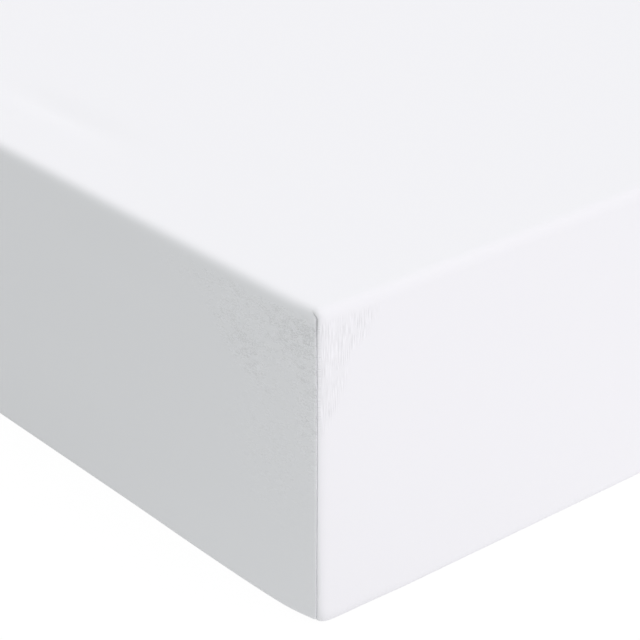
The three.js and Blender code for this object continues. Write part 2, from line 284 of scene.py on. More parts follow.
# The corner seams: a narrow groove whose upper end curls over the rim towards the long side, with small
# puckers.
seam = {
    "turn": 24,  # degrees round the corner from the long side
    "depth": 0.0008,
    "halfWidth": 0.00022,
    "topDepth": 0.0002,  # deeper and wider near the rim
    "topWidth": 0.00055,
    "topMiddle": 0.004,  # below the top
    "topReach": 0.016,
    "topEnd": 0.0032,  # it ends this far below the top
    "topFade": 0.0022,
    "curlStart": 0.0052,
    "curl": 0.0054,
    "curlReach": 0.018,
    # Between its foot and the curl it runs further round towards the end, and the corner is pulled in less
    # there. The table goes by the height.
    "wound": 0.0010,
    "woundAt": ([0.030, 0.080, 0.172, 0.190], [0.0, 1.0, 1.0, 0.0]),
    "lessTuck": 0.3,
    # painted shade in the seams' upper ends: how strong it is by the way down, and its width across the seam
    "shade": ([0.0030, 0.0046, 0.0090, 0.0150, 0.0260], [0.0, 1.0, 1.0, 0.35, 0.0]),  # by the way down
    "paintedShadeWidth": 0.0007,
    "footFade": 30,  # degrees up the lower edge's roll over which it sets in
    "pucker": 0.00012,
    "puckerPitch": 0.017,
    "puckerSway": 1.7,  # how uneven the pitch is
    "puckerSwayRate": 90,  # radians in a metre
    "puckerReach": 0.0045,
    "puckerClear": 0.0012,  # none nearer to the seam
}

# How far the knit is pulled open beside the seams. The tables go by the distance below the top.
knit = {
    "start": 0.006,  # below the top, and the way over which it sets in
    # the wedge of strokes on the ends: its width, the softness of its edge and its strength
    "wedge": (
        [0.0, 0.012, 0.024, 0.032, 0.055, 0.068, 0.082],
        [0.044, 0.042, 0.036, 0.024, 0.018, 0.012, 0.0],
    ),
    "wedgeSoft": 0.006,
    "strokeFade": ([0.0, 0.060, 0.085], [1.0, 0.90, 0.0]),
    # the curls on the long sides: soft patches, by their middles from the end and below the top
    "patches": [
        {"strength": 1.00, "fromEnd": 0.014, "below": 0.018, "reach": 0.032, "drop": 0.020},
        {"strength": 0.35, "fromEnd": 0.060, "below": 0.012, "reach": 0.060, "drop": 0.012},
        {"strength": 0.16, "fromEnd": 0.038, "below": 0.095, "reach": 0.034, "drop": 0.045},
    ],
    # a strip beside the seam
    "strip": {"strength": 0.8, "reach": 0.018},
    "stripFade": ([0.0, 0.050, 0.095, 0.120], [1.0, 0.75, 0.30, 0.05]),
    # and a band that slants down, away from the seam at its upper end
    "band": {"strength": 0.8, "fromEnd": 0.0637, "below": 0.0407, "halfWidth": 0.011, "halfLength": 0.028},
    "bandWay": (0.76, -0.65),  # its direction, as the way from the end and the way down
}

# The gathers underneath, as a count of half waves at some distances from a corner.
gathers = {
    "rise": 0.0014,
    "reach": 0.130,
    "turnPerHalfWave": 9,  # degrees
    "distance": [0.0, 0.019, 0.043, 0.073, 0.110, 0.157],
    "count": [0, 1, 2, 3, 4, 5],
}


def fromCorner(columns):
    # the greater of the ways from the nearest corner along X and along Y
    return np.maximum(columns["x"].max() - np.abs(columns["x"]), columns["y"].max() - np.abs(columns["y"]))


def faceRing(columns, setIn):
    # an outline of the upright faces or the rim, whose corners grow sharper as it is set in
    radius = [np.maximum(size - setIn, cloth["leastRadius"]) for size in cloth["cornerRadius"]]
    return ringXY(cloth, columns, (setIn, setIn), radius, columns["bulge"])


def measureRound(columns):
    # The way round the bed to each column, and its way from the nearest seam, which is positive on the long
    # sides.
    columns["bulge"], columns["angle"] = softEdge(columns["polar"], cloth["cornerRadius"])
    x, y = faceRing(columns, 0)
    step = np.hypot(np.roll(x, -1) - x, np.roll(y, -1) - y)
    columns["round"] = np.cumsum(step) - step
    columns["wholeRound"] = step.sum()
    turnFromLong = np.where(columns["quarter"] % 2 == 0, columns["local"], 90 - columns["local"])
    seams = columns["round"][np.abs(turnFromLong - seam["turn"]) < 0.001]
    half = columns["wholeRound"] / 2
    offsets = (columns["round"][:, None] - seams + half) % (2 * half) - half
    nearest = np.abs(offsets).argmin(axis=1)
    columns["towardsLong"] = np.where(nearest % 2 == 0, -1, 1)
    columns["along"] = offsets[np.arange(len(nearest)), nearest] * columns["towardsLong"]


def topDrop(x, y):
    # grows with the square of x, less at the corners than at the middle of the long sides
    alongShare = (y / cloth["halfY"]) ** 2
    return (x / cloth["halfX"]) ** 2 * mix(cloth["longSideDrop"], cloth["cornerDrop"], alongShare)


def topHeight(x, y, depth=0):
    # the top, less its depth in the cloth, its drop and the raised cosines of its hollows
    sunk = sum(h["depth"] * bump(x - h["x"], h["reachX"]) * bump(y - h["y"], h["reachY"]) for h in hollows)
    return cloth["top"] - depth - topDrop(x, y) - sunk


def tuckOf(columns, axis):
    # the sum of the tucks, each times (1 - distance from the seam / reach)^2, and 0 beyond its reach
    along = columns["along"]
    total = np.zeros(len(along))
    for tuck in cloth["tucks"]:
        reach = np.where(along < 0, *tuck["reach"][axis])
        total += tuck["by"][axis] * np.maximum(1 - np.abs(along) / reach, 0) ** 2
    return total


def pullIn(columns, x, y, z, share=1):
    # the corners pulled in beside their seams by a share of the tucks, less along X where the seam winds
    less = 1 - seam["lessTuck"] * np.interp(z, *seam["woundAt"])
    x = x - np.sign(x) * share * tuckOf(columns, 0) * less
    y = y - np.sign(y) * share * tuckOf(columns, 1)
    return x, y


def swellOut(columns, z):
    # the sum of the raised cosines of the face that each column lies on
    out = np.zeros_like(z)
    for s in swells:
        along = columns["y"] if s["wall"] % 180 == 0 else columns["x"]
        onWall = np.isnan(columns["local"]) & (90 * columns["quarter"] == s["wall"])
        out += s["out"] * onWall * bump(along - s["along"], s["reach"]) * bump(z - s["height"], s["rise"])
    return out


def seamOut(columns, z, turn):
    # A groove that is a bell curve across the seam, plus puckers: a sine wave down the seam times a wider
    # bell curve, with none in the groove itself.
    across = columns["along"]
    below = cloth["top"] - z
    atFoot = ease((turn - cloth["flatTurn"]) / seam["footFade"])
    strength = ease((below - seam["topEnd"]) / seam["topFade"]) * atFoot
    nearTop = bump(below - seam["topMiddle"], seam["topReach"])
    depth = seam["depth"] + seam["topDepth"] * nearTop
    halfWidth = seam["halfWidth"] + seam["topWidth"] * nearTop
    sway = seam["puckerSway"] * np.sin(seam["puckerSwayRate"] * z + columns["quarter"])
    wave = np.sin(2 * np.pi * z / seam["puckerPitch"] + sway)
    beside = bell(across, seam["puckerReach"]) * (1 - bell(across, seam["puckerClear"]))
    return strength * (seam["pucker"] * wave * beside - depth * bell(across, halfWidth))


def curlRings(columns, rings, z):
    # Slides the rings' points along their outlines near the corners: towards the long sides at the top, by
    # 3t^2 - 2t^3 of the height, and towards the ends where the seam is wound, and less away from the seam.
    curl = seam["curl"] * ease((z[:, :1] - cloth["top"] + seam["curlStart"]) / seam["curlStart"])
    curl -= seam["wound"] * np.interp(z[:, :1], *seam["woundAt"])
    slid = columns["round"] + columns["towardsLong"] * curl * bump(columns["along"], seam["curlReach"])
    places, whole = columns["round"], columns["wholeRound"]
    slidRings = []
    for ring in rings:
        rows = [np.interp(row, places, part, period=whole) for row, part in zip(slid, ring)]
        slidRings.append(np.stack(rows))
    return slidRings


def gatherLift(columns, share):
    # raised cosines along the hem, times 3t^2 - 2t^3 towards the corner and the share turned in, squared
    distance = fromCorner(columns)
    onSide = np.interp(distance, gathers["distance"], gathers["count"])
    count = np.where(np.isnan(columns["local"]), onSide, columns["local"] / gathers["turnPerHalfWave"])
    wave = 0.5 - 0.5 * np.cos(np.pi * count)
    return gathers["rise"] * wave * ease(1 - distance / gathers["reach"]) * share**2


def clothRings(columns, depth, rim, wall, foot, under):
    # The rings of one face of the cloth, from the top to the hem. rim and foot turn round their rolls in
    # degrees, wall and under go by a share of their widths. down is the cloth's length from the top's edge.
    along = columns["along"]
    leastRoll = min(cloth["footRolls"])
    footRoll = np.interp(along, cloth["footPlaces"], cloth["footRolls"])
    rounder = np.minimum((footRoll - leastRoll) / cloth["roundOver"], 1)
    shares = (np.array(part, float)[:, None] for part in (rim, foot, wall, under))
    rim, foot, wall, under = (part + 0 * along for part in shares)
    (rimBulge, rimFacing), (footBulge, footFacing) = softEdge(rim), softEdge(foot)
    footBulge = mix(footBulge, 1, rounder)
    footFacing = mix(footFacing, foot, rounder)
    rimLow = cloth["top"] - cloth["rimRoll"]
    rimLength, footLength = cloth["rimRoll"] * np.pi / 2, footRoll * np.pi / 2
    wallLength = rimLow - footRoll

    # heights of the parts
    rimReach = cloth["rimRoll"] - depth
    toEdge = (1 - under) * cloth["turnIn"]
    if depth:
        doubled = ease((cloth["hemBand"] - toEdge) / cloth["hemStep"])
        underZ = depth + doubled * (cloth["hemThickness"] - cloth["thickness"])
    else:
        rows = (bell(toEdge - row, cloth["hemStitchReach"]) for row in cloth["hemStitchRows"])
        underZ = cloth["hemStitchSink"] * sum(rows)
    z = np.concatenate([
        rimLow + rimReach * rimBulge * np.sin(np.radians(rim)),
        mix(rimLow, footRoll, wall),
        footRoll + (footRoll - depth) * footBulge * np.sin(np.radians(foot)),
        underZ,
    ])

    # outlines: the faces with the rim, then the foot from the face to the base, and the cloth from there to
    # the hem
    setIn = np.concatenate([depth + rimReach * (1 - rimBulge * np.cos(np.radians(rim))), depth + 0 * wall])
    face = faceRing(columns, setIn)
    wallEnd = faceRing(columns, depth)
    base = ringXY(cloth, columns, (leastRoll,) * 2, cloth["baseCorner"])
    hem = ringXY(cloth, columns, (cloth["turnIn"],) * 2, (cloth["hemCornerRadius"],) * 2)
    footShare = footBulge * np.cos(np.radians(foot))
    x, y = (
        np.concatenate([face[k], mix(base[k], wallEnd[k], footShare), mix(base[k], hem[k], under)])
        for k in range(2)
    )
    fades = np.concatenate([rimBulge * np.cos(np.radians(rim)), 0 * wall + 1, 0 * foot + 1, 1 - under])
    x, y = pullIn(columns, x, y, z, fades)
    facing = np.radians(columns["angle"]) + 0 * z
    outX, outY = np.cos(facing), np.sin(facing)
    if len(setIn):
        x, y, outX, outY = curlRings(columns, (x, y, outX, outY), z)

    turn = np.concatenate([rimFacing, 0 * wall, footFacing, 0 * under - 90])
    share = np.concatenate([0 * rim, 0 * wall, 0 * foot, under])
    dropShare = np.concatenate([0 * rim + 1, 1 - wall, 0 * foot, 0 * under])
    down = np.concatenate([
        rimLength * (1 - rim / 90),
        rimLength + wall * wallLength,
        rimLength + wallLength - footLength * foot / 90,
        rimLength + wallLength + footLength + under * (cloth["turnIn"] - leastRoll),
    ])
    z = z - topDrop(x, y) * dropShare + gatherLift(columns, share)
    swellShare = ease((turn - cloth["flatTurn"]) / cloth["swellFade"])
    out = swellOut(columns, z) * swellShare + seamOut(columns, z, turn)
    level, up = out * np.cos(np.radians(turn)), out * np.sin(np.radians(turn))
    points = np.stack([x + level * outX, y + level * outY, z + up], axis=-1)
    return points, turn, share, down


def hemFold(columns):
    # the folded edge: a half circle from the lower face to the upper one
    phi = np.radians([-60, -30, 0, 30, 60])[:, None] + 0 * columns["x"][None]
    roll = cloth["hemThickness"] / 2
    setIn = cloth["turnIn"] + roll * np.cos(phi)
    x, y = ringXY(cloth, columns, (setIn,) * 2, (cloth["hemCornerRadius"],) * 2)
    z = roll + roll * np.sin(phi) + gatherLift(columns, 1 + 0 * phi)
    return np.stack([x, y, z], axis=-1)


def clothUv(columns, points, turn, share, down):
    # The cloth's own flat coordinates in metres, once for each side of the bed: the top's plane goes on down
    # the sides, so that the ribs of the knit run along the bed and down its ends.
    onTop = ease(turn / 90)
    blend = onTop + ease(share / cloth["knitTurns"])
    maps = []
    for side in range(4):
        sign = 1 if side < 2 else -1
        fromSide = (columns["polar"] - 90 * side + 180) % 360 - 180
        turned = np.radians(fromSide) * cloth["cornerRadius"][side % 2 - 1]
        if side % 2 == 0:
            across = sign * (cloth["halfX"] - cloth["rimRoll"] + down)
            along = columns["y"] + sign * turned
            maps.append((mix(across, points[..., 0], onTop), mix(along, points[..., 1], blend)))
        else:
            across = sign * (cloth["halfY"] - cloth["rimRoll"] + down)
            along = columns["x"] - sign * turned
            maps.append((mix(along, points[..., 0], blend), mix(across, points[..., 1], onTop)))
    return np.array(maps).transpose(0, 2, 3, 1)


def pullOfKnit(points):
    # How open the knit is pulled. In x, its strokes on the ends: a wedge beside the seam that narrows
    # downwards. In y, its curls on the long sides: the strongest of the patches, the strip and the band,
    # which are bell curves. z is kept for the painted shade in the seams.
    fromEnd = cloth["halfY"] - np.abs(points[:, 1])
    fromLong = cloth["halfX"] - np.abs(points[:, 0])
    below = cloth["top"] - points[:, 2]
    onWall = ease((below - knit["start"]) / knit["start"])
    insideWedge = ease((np.interp(below, *knit["wedge"]) - fromLong) / knit["wedgeSoft"] + 0.5)
    strokes = insideWedge * np.interp(below, *knit["strokeFade"]) * onWall

    def patchOf(spot):
        across = bell(fromEnd - spot["fromEnd"], spot["reach"])
        return spot["strength"] * across * bell(below - spot["below"], spot["drop"])

    strip, band = knit["strip"], knit["band"]
    wayX, wayZ = knit["bandWay"]
    aside, sunk = fromEnd - band["fromEnd"], below - band["below"]
    lengthwise = bell(aside * wayX + sunk * wayZ, band["halfLength"])
    crosswise = bell(sunk * wayX - aside * wayZ, band["halfWidth"])
    curls = [patchOf(spot) for spot in knit["patches"]]
    curls.append(strip["strength"] * bell(fromEnd, strip["reach"]) * np.interp(below, *knit["stripFade"]))
    curls.append(band["strength"] * lengthwise * crosswise)
    curls = np.max(curls, axis=0) * onWall
    onEnd = fromEnd < fromLong
    return np.stack([strokes * onEnd, curls * ~onEnd, 0 * curls], axis=-1)


def buildSheet(material):
    lines = (
        sideLines(cloth["halfX"] - cloth["topSetIn"], cloth["linesAcross"], cloth["crowd"]),
        sideLines(cloth["halfY"] - cloth["topSetIn"], cloth["linesAlong"], cloth["crowd"]),
    )
    # the corner's turns crowd towards its seam: sinh(kt) / sinh(k)
    t = np.linspace(-1, 1, cloth["turnsPerCorner"])
    crowded = np.sinh(cloth["turnCrowd"] * t) / np.sinh(cloth["turnCrowd"])
    turns = seam["turn"] + np.where(t < 0, seam["turn"], 90 - seam["turn"]) * crowded
    columns = makeColumns(lines, turns)
    measureRound(columns)

    outer = clothRings(
        columns, 0,
        rim=np.linspace(90, 0, cloth["rimRings"]),
        wall=np.linspace(0, 1, cloth["wallRings"] + 1)[1:],
        foot=np.linspace(0, -90, cloth["footRings"] + 1)[1:],
        under=1 - np.array(cloth["hemRings"]) / cloth["turnIn"],
    )
    inner = clothRings(
        columns, cloth["thickness"],
        rim=np.linspace(90, 0, cloth["innerRimRings"]),
        wall=cloth["innerWall"],
        foot=cloth["innerFoot"],
        under=1 - np.array(cloth["innerHemRings"]) / cloth["turnIn"],
    )
    fold = hemFold(columns)
    foldShare = np.ones(fold.shape[:2])
    rings = np.concatenate([outer[0], fold, inner[0][::-1]])
    turn = np.concatenate([outer[1], -90 * foldShare, inner[1][::-1]])
    share = np.concatenate([outer[2], foldShare, inner[2][::-1]])
    down = np.concatenate([outer[3], foldShare * outer[3][-1], inner[3][::-1]])

    upper = gridPoints(lines, topHeight)
    lower = gridPoints(lines, lambda x, y: topHeight(x, y, cloth["thickness"]))
    points = np.concatenate([upper, rings.reshape(-1, 3), lower])
    shell = shellFaces(columns, lines, len(rings))
    sheet = addPiece("sheet_cloth", points, shell["grids"] + shell["faces"], material)

    # flat coordinates of the rings, with the outlines of the grids, which lie flat, at both ends
    outline = columns["i"] * len(lines[1]) + columns["j"]
    flatRow = np.full((1, len(outline)), 90.0)
    maps = clothUv(
        columns,
        np.concatenate([upper[outline][None], rings, lower[outline][None]]),
        np.concatenate([flatRow, turn, flatRow]),
        np.pad(share, ((1, 1), (0, 0))),
        np.pad(down, ((1, 1), (0, 0))),
    )
    polar = columns["polar"]
    middle = polar + ((np.roll(polar, -1) - polar + 180) % 360 - 180) / 2
    sideAfter = np.round(middle / 90).astype(int) % 4  # the side that the face after each column belongs to
    loopUv = [points[grid][..., :2].reshape(-1, 2) for grid in shell["grids"]]
    for rows, places, first in zip(shell["rows"], shell["columns"], shell["first"]):
        loopUv.append(maps[sideAfter[first][:, None], rows, places].reshape(-1, 2))
    layer = sheet.data.uv_layers.new(name="clothUv")
    layer.data.foreach_set("uv", np.concatenate(loopUv).ravel())

    pull = pullOfKnit(points)
    below = cloth["top"] - rings[..., 2]
    # the z of pull holds the painted shade deep in the seams' upper ends
    shaded = bell(columns["along"], seam["paintedShadeWidth"]) * np.interp(below, *seam["shade"])
    pull[len(upper):len(upper) + shaded.size, 2] = shaded.ravel()
    attribute = sheet.data.attributes.new("pull", "FLOAT_VECTOR", "POINT")
    attribute.data.foreach_set("vector", pull.ravel())
    return sheet, columns


# The stitches

thread = {
    "shoulder": 0.3,  # a stitch tapers from here, as a share of its length from its middle
    "flatness": 0.8,  # its height as a share of its width
    "hemPitch": 0.0034,
    "hemLength": 0.0026,
    "hemWidth": 0.00032,
    "hemProud": 0.3,  # of its width
    "seamPitch": 0.0030,
    "seamLength": 0.0011,
    "seamWidth": 0.00030,
    "seamFrom": 0.018,  # above the floor
    "seamTo": 0.012,  # below the top
    "seamSunk": 0.62,  # of the groove's depth
    "seamLean": 0.25,
    "seamLeanStep": 7.1,  # radians from one stitch to the next, so that they lean unevenly
}


def addStitches(name, centres, alongs, lifts, size, material):
    # Small spindles, one at each centre: rings of five points at two places of the length, and two tips.
    ring = np.radians(np.arange(5) * 72)
    stations = np.repeat([-thread["shoulder"], thread["shoulder"]], 5)
    template = np.column_stack([stations, np.tile(np.cos(ring), 2) / 2, np.tile(np.sin(ring), 2) / 2])
    template = np.vstack([template, [-0.5, 0, 0], [0.5, 0, 0]])
    step = np.arange(5)
    after = (step + 1) % 5
    quads = np.column_stack([step, after, after + 5, step + 5])
    tips = np.vstack([
        np.column_stack([after, step, np.full(5, 10)]),
        np.column_stack([step + 5, after + 5, np.full(5, 11)]),
    ])
    length, width = size
    alongs = alongs / np.linalg.norm(alongs, axis=1, keepdims=True)
    sides = np.cross(lifts, alongs)
    points = centres[:, None] + (
        alongs[:, None] * template[None, :, :1] * length
        + sides[:, None] * template[None, :, 1:2] * width
        + lifts[:, None] * template[None, :, 2:] * width * thread["flatness"]
    )
    shift = (np.arange(len(centres)) * len(template))[:, None, None]
    faces = [(part[None] + shift).reshape(-1, part.shape[1]) for part in (quads, tips)]
    return addPiece(name, points.reshape(-1, 3), faces, material)


def spacedAlong(path, pitch):
    # points and directions at an even pitch along a closed path
    closed = np.vstack([path, path[:1]])
    length = np.concatenate([[0], np.cumsum(np.linalg.norm(np.diff(closed, axis=0), axis=1))])
    places = np.linspace(0, length[-1], int(length[-1] / pitch), endpoint=False)
    points, ahead = (
        np.stack([np.interp(way % length[-1], length, closed[:, k]) for k in range(3)], axis=-1)
        for way in (places, places + pitch / 4)
    )
    return points, ahead - points


def buildHemStitches(columns, material):
    # rows along the hem, whose centres lie a share of their width below the cloth
    centres, alongs = [], []
    for row in cloth["hemStitchRows"]:
        share = 1 - row / cloth["turnIn"]
        path = clothRings(columns, 0, [], [], [], [share])[0][0]
        path[:, 2] -= thread["hemWidth"] * thread["hemProud"]
        points, along = spacedAlong(path, thread["hemPitch"])
        centres.append(points)
        alongs.append(along)
    centres, alongs = np.vstack(centres), np.vstack(alongs)
    lifts = np.tile([0.0, 0.0, -1.0], (len(centres), 1))
    size = thread["hemLength"], thread["hemWidth"]
    return addStitches("hem_stitches", centres, alongs, lifts, size, material)


def buildSeamStitches(columns, material):
    # short stitches across the seams, sunk in their grooves
    z = np.arange(thread["seamFrom"], cloth["top"] - thread["seamTo"], thread["seamPitch"])
    rows = z[:, None] + 0 * columns["along"]
    x, y = curlRings(columns, pullIn(columns, *faceRing(columns, 0 * rows), rows), rows)
    centres, alongs, lifts = [], [], []
    for column in np.flatnonzero(columns["along"] == 0):
        theta = math.radians(columns["angle"][column])
        outward = np.array([math.cos(theta), math.sin(theta), 0])
        places = np.column_stack([x[:, column], y[:, column], z])
        step = thread["seamLeanStep"] * np.arange(len(z)) + columns["quarter"][column]
        lean = thread["seamLean"] * np.sin(step)
        centres.append(places - outward * seam["depth"] * thread["seamSunk"])
        alongs.append([-outward[1], outward[0], 0] + np.outer(lean, [0, 0, 1]))
        lifts.append(np.tile(outward, (len(z), 1)))
    size = thread["seamLength"], thread["seamWidth"]
    return addStitches("seam_stitches", *map(np.vstack, (centres, alongs, lifts)), size, material)


# The mattress

pad = {
    "halfX": bedHigh[0],
    "halfY": bedHigh[1],
    "foot": float(bedLow[2]),
    "top": float(bedHigh[2]),
    "cornerRadius": 0.012,
    "roll": 0.010,
    "crown": 0.0008,  # the middle of its faces stands out a little from their edges
    "linesAcross": 24,
    "linesAlong": 44,
    "crowd": 0.7,
    "turnsPerCorner": 13,
    "rollRings": 9,
    "wallRings": 7,
}


def buildPad(material):
    straightX, straightY = pad["halfX"] - pad["cornerRadius"], pad["halfY"] - pad["cornerRadius"]
    lines = (
        sideLines(straightX, pad["linesAcross"], pad["crowd"]),
        sideLines(straightY, pad["linesAlong"], pad["crowd"]),
    )
    columns = makeColumns(lines, np.linspace(0, 90, pad["turnsPerCorner"]))
    # a quarter roll, the wall and a quarter roll: turn round the rolls, and place between their centres
    roll, wall = pad["rollRings"], pad["wallRings"]
    quarter = np.radians(np.linspace(90, 0, roll))
    turn = np.concatenate([quarter, np.zeros(wall), -quarter[::-1]])
    middle = np.concatenate([np.ones(roll), np.linspace(1, -1, wall + 2)[1:-1], -np.ones(roll)])
    half = (pad["top"] - pad["foot"]) / 2 - pad["roll"]
    centre = (pad["top"] + pad["foot"]) / 2
    edge = pad["roll"] - pad["crown"]
    z = (centre + middle * half + edge * np.sin(turn))[:, None] + 0 * columns["x"]
    setIn = (pad["roll"] * (1 - np.cos(turn)))[:, None]
    x, y = ringXY(pad, columns, (setIn,) * 2, (pad["cornerRadius"] - setIn,) * 2)
    rings = np.stack([x, y, z], axis=-1)

    def crown(x, y):
        # a low dome that reaches 0 at the grid's outline
        return pad["crown"] * np.sqrt((1 - (x / straightX) ** 2) * (1 - (y / straightY) ** 2))

    points = np.concatenate([
        gridPoints(lines, lambda x, y: pad["top"] - pad["crown"] + crown(x, y)),
        rings.reshape(-1, 3),
        gridPoints(lines, lambda x, y: pad["foot"] + pad["crown"] - crown(x, y)),
    ])
    shell = shellFaces(columns, lines, len(rings))
    return addPiece("mattress_pad", points, shell["grids"] + shell["faces"], material)


# Finishes

jersey = {
    "dark": (0.842, 0.842, 0.871, 1),
    "light": (0.965, 0.965, 0.999, 1),
    "plain": 0.594,  # the plain cloth's place between them
    # painted shade: the grey that the colour turns to deep in the seams' upper ends
    "paintedSeamShade": (0.66, 0.66, 0.68, 1),  # deep in the seams' upper ends
    # sizes in metres across and along the ribs, detail and distortion of the noises
    "strokes": (0.0007, 0.0120, 1, 0.0),
    "breaks": (0.0050, 0.0090, 1, 0.0),
    "curls": (0.0012, 0.0030, 1, 2.0),
    "grain": (0.0010, 0.0014, 1, 0.0),
    "strokeRise": 0.8,
    "curlRise": 1.5,
    "grainRise": 0.04,
    # painted shade and light: how much the strokes and the curls darken the colour in their valleys and
    # lighten it on their ridges
    "strokePaintedShading": 3.9,
    "curlPaintedShading": 12.0,
    "strokedLight": -0.12,  # how much lighter the cloth is where its strokes are pulled open
    "curledLight": 0.14,  # and its curls
    "brokenFrom": -0.22,  # strokes and curls fade out between these values of the breaks
    "brokenTo": 0.04,
    "relief": 0.00030,
    "roughness": 0.95,
    "specular": 0.2,
    "sheen": 0.05,
    "sheenRoughness": 0.6,
}

threadLook = {"colour": (0.93, 0.93, 0.96, 1), "roughness": 0.6, "twist": 900, "sway": 1, "relief": 0.00005}

ticking = {
    "dark": (0.78, 0.77, 0.73, 1),
    "light": (0.90, 0.89, 0.86, 1),
    "pitch": 0.0011,  # of the weave
    "cloud": {"Scale": 35, "Detail": 3},
    "relief": 0.00012,
    "roughness": 0.85,
}


def newMaterial(name):
    # a material with an empty tree of nodes
    material = bpy.data.materials.new(name)
    material.use_nodes = True
    material.node_tree.nodes.clear()
    return material, material.node_tree


def finishMaterial(tree, colour, roughness, height, relief, **more):
    # the end of a material: the bump that its height gives, the shader and the output
    bumped = addNode(tree, "ShaderNodeBump", {"Height": height, "Distance": relief, "Strength": 1.0})
    inputs = {"Base Color": colour, "Roughness": roughness, "Normal": bumped.outputs[0]}
    inputs |= {key.replace("_", " "): value for key, value in more.items()}
    shader = addNode(tree, "ShaderNodeBsdfPrincipled", inputs)
    addNode(tree, "ShaderNodeOutputMaterial", {"Surface": shader.outputs[0]})


def makeJersey():
    # Strokes and fine curls in relief where the knit is pulled open, over a faint grain everywhere. Their
    # colour follows their relief, as painted shade in its valleys and painted light on its ridges, and the
    # seams' upper ends get painted shade.
    material, tree = newMaterial("whiteJersey")
    flat = addNode(tree, "ShaderNodeUVMap", uv_map="clothUv").outputs[0]
    pull = addNode(tree, "ShaderNodeAttribute", attribute_name="pull").outputs["Vector"]
    pulled = addNode(tree, "ShaderNodeSeparateXYZ", {"Vector": pull}).outputs

    def noiseOf(name):
        # 2D noise, whose grains have the sizes across and along the ribs, round 0
        across, along, detail, distortion = jersey[name]
        scale = (1 / across, 1 / along, 1)
        place = addNode(tree, "ShaderNodeMapping", {"Vector": flat, "Scale": scale}).outputs[0]
        inputs = {"Vector": place, "Scale": 1, "Detail": detail, "Distortion": distortion}
        noise = addNode(tree, "ShaderNodeTexNoise", inputs, noise_dimensions="2D").outputs["Fac"]
        return calculate(tree, "SUBTRACT", noise, 0.5)

    strokes, breaks, curls, grain = (noiseOf(name) for name in ("strokes", "breaks", "curls", "grain"))
    between = {"Value": breaks, "From Min": jersey["brokenFrom"], "From Max": jersey["brokenTo"]}
    broken = addNode(tree, "ShaderNodeMapRange", between).outputs[0]
    strokes = calculate(tree, "MULTIPLY", calculate(tree, "MULTIPLY", strokes, broken), pulled[0])
    curls = calculate(tree, "MULTIPLY", calculate(tree, "MULTIPLY", curls, broken), pulled[1])
    height = calculate(tree, "MULTIPLY", grain, jersey["grainRise"])
    height = calculate(tree, "MULTIPLY_ADD", strokes, jersey["strokeRise"], height)
    height = calculate(tree, "MULTIPLY_ADD", curls, jersey["curlRise"], height)
    toneAndPaintedShading = calculate(tree, "MULTIPLY_ADD", pulled[0], jersey["strokedLight"], jersey["plain"])
    toneAndPaintedShading = calculate(tree, "MULTIPLY_ADD", pulled[1], jersey["curledLight"], toneAndPaintedShading)
    # painted shade in the valleys and painted light on the ridges of the strokes and the curls, following
    # their relief
    toneAndPaintedShading = calculate(tree, "MULTIPLY_ADD", strokes, jersey["strokePaintedShading"], toneAndPaintedShading)
    toneAndPaintedShading = calculate(tree, "MULTIPLY_ADD", curls, jersey["curlPaintedShading"], toneAndPaintedShading)
    tones = {0: toneAndPaintedShading, 6: jersey["dark"], 7: jersey["light"]}
    colour = addNode(tree, "ShaderNodeMix", tones, data_type="RGBA")
    # painted shade: the colour darkens towards a grey deep in the seams' upper ends
    paintedSeamShadeInputs = {0: pulled[2], 6: colour.outputs[2], 7: jersey["paintedSeamShade"]}
    shaded = addNode(tree, "ShaderNodeMix", paintedSeamShadeInputs, data_type="RGBA")
    finishMaterial(
        tree, shaded.outputs[2], jersey["roughness"], height, jersey["relief"],
        Specular_IOR_Level=jersey["specular"], Sheen_Weight=jersey["sheen"],
        Sheen_Roughness=jersey["sheenRoughness"],
    )
    return material


def makeThread():
    # a twisted thread: fine stripes round its length
    material, tree = newMaterial("whiteThread")
    place = addNode(tree, "ShaderNodeTexCoord").outputs["Object"]
    inputs = {"Vector": place, "Scale": threadLook["twist"], "Distortion": threadLook["sway"]}
    twist = addNode(tree, "ShaderNodeTexWave", inputs, bands_direction="DIAGONAL").outputs["Fac"]
    finishMaterial(tree, threadLook["colour"], threadLook["roughness"], twist, threadLook["relief"])
    return material


def makeTicking():
    # a plain woven cover: warp and weft as two crossed waves, over a faint unevenness
    material, tree = newMaterial("creamTicking")
    place = addNode(tree, "ShaderNodeTexCoord").outputs["Object"]
    parts = addNode(tree, "ShaderNodeSeparateXYZ", {"Vector": place})
    rate = 2 * math.pi / ticking["pitch"]
    waves = [calculate(tree, "SINE", calculate(tree, "MULTIPLY", parts.outputs[k], rate)) for k in range(3)]
    weave = calculate(tree, "MULTIPLY_ADD", waves[0], waves[1], waves[2])
    cloud = addNode(tree, "ShaderNodeTexNoise", {"Vector": place} | ticking["cloud"]).outputs["Fac"]
    tones = {0: cloud, 6: ticking["dark"], 7: ticking["light"]}
    colour = addNode(tree, "ShaderNodeMix", tones, data_type="RGBA").outputs[2]
    finishMaterial(tree, colour, ticking["roughness"], weave, ticking["relief"])
    return material


jerseyFinish = makeJersey()
threadFinish = makeThread()
sheet, columns = buildSheet(jerseyFinish)
print("sheet:", len(sheet.data.vertices), "points")
hemStitches = buildHemStitches(columns, threadFinish)
seamStitches = buildSeamStitches(columns, threadFinish)
print("stitches:", len(hemStitches.data.polygons), "and", len(seamStitches.data.polygons), "faces")
mattressPad = buildPad(makeTicking())
print("mattress:", len(mattressPad.data.vertices), "points")

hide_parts("fitted_sheet")
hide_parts("mattress")


# The studio

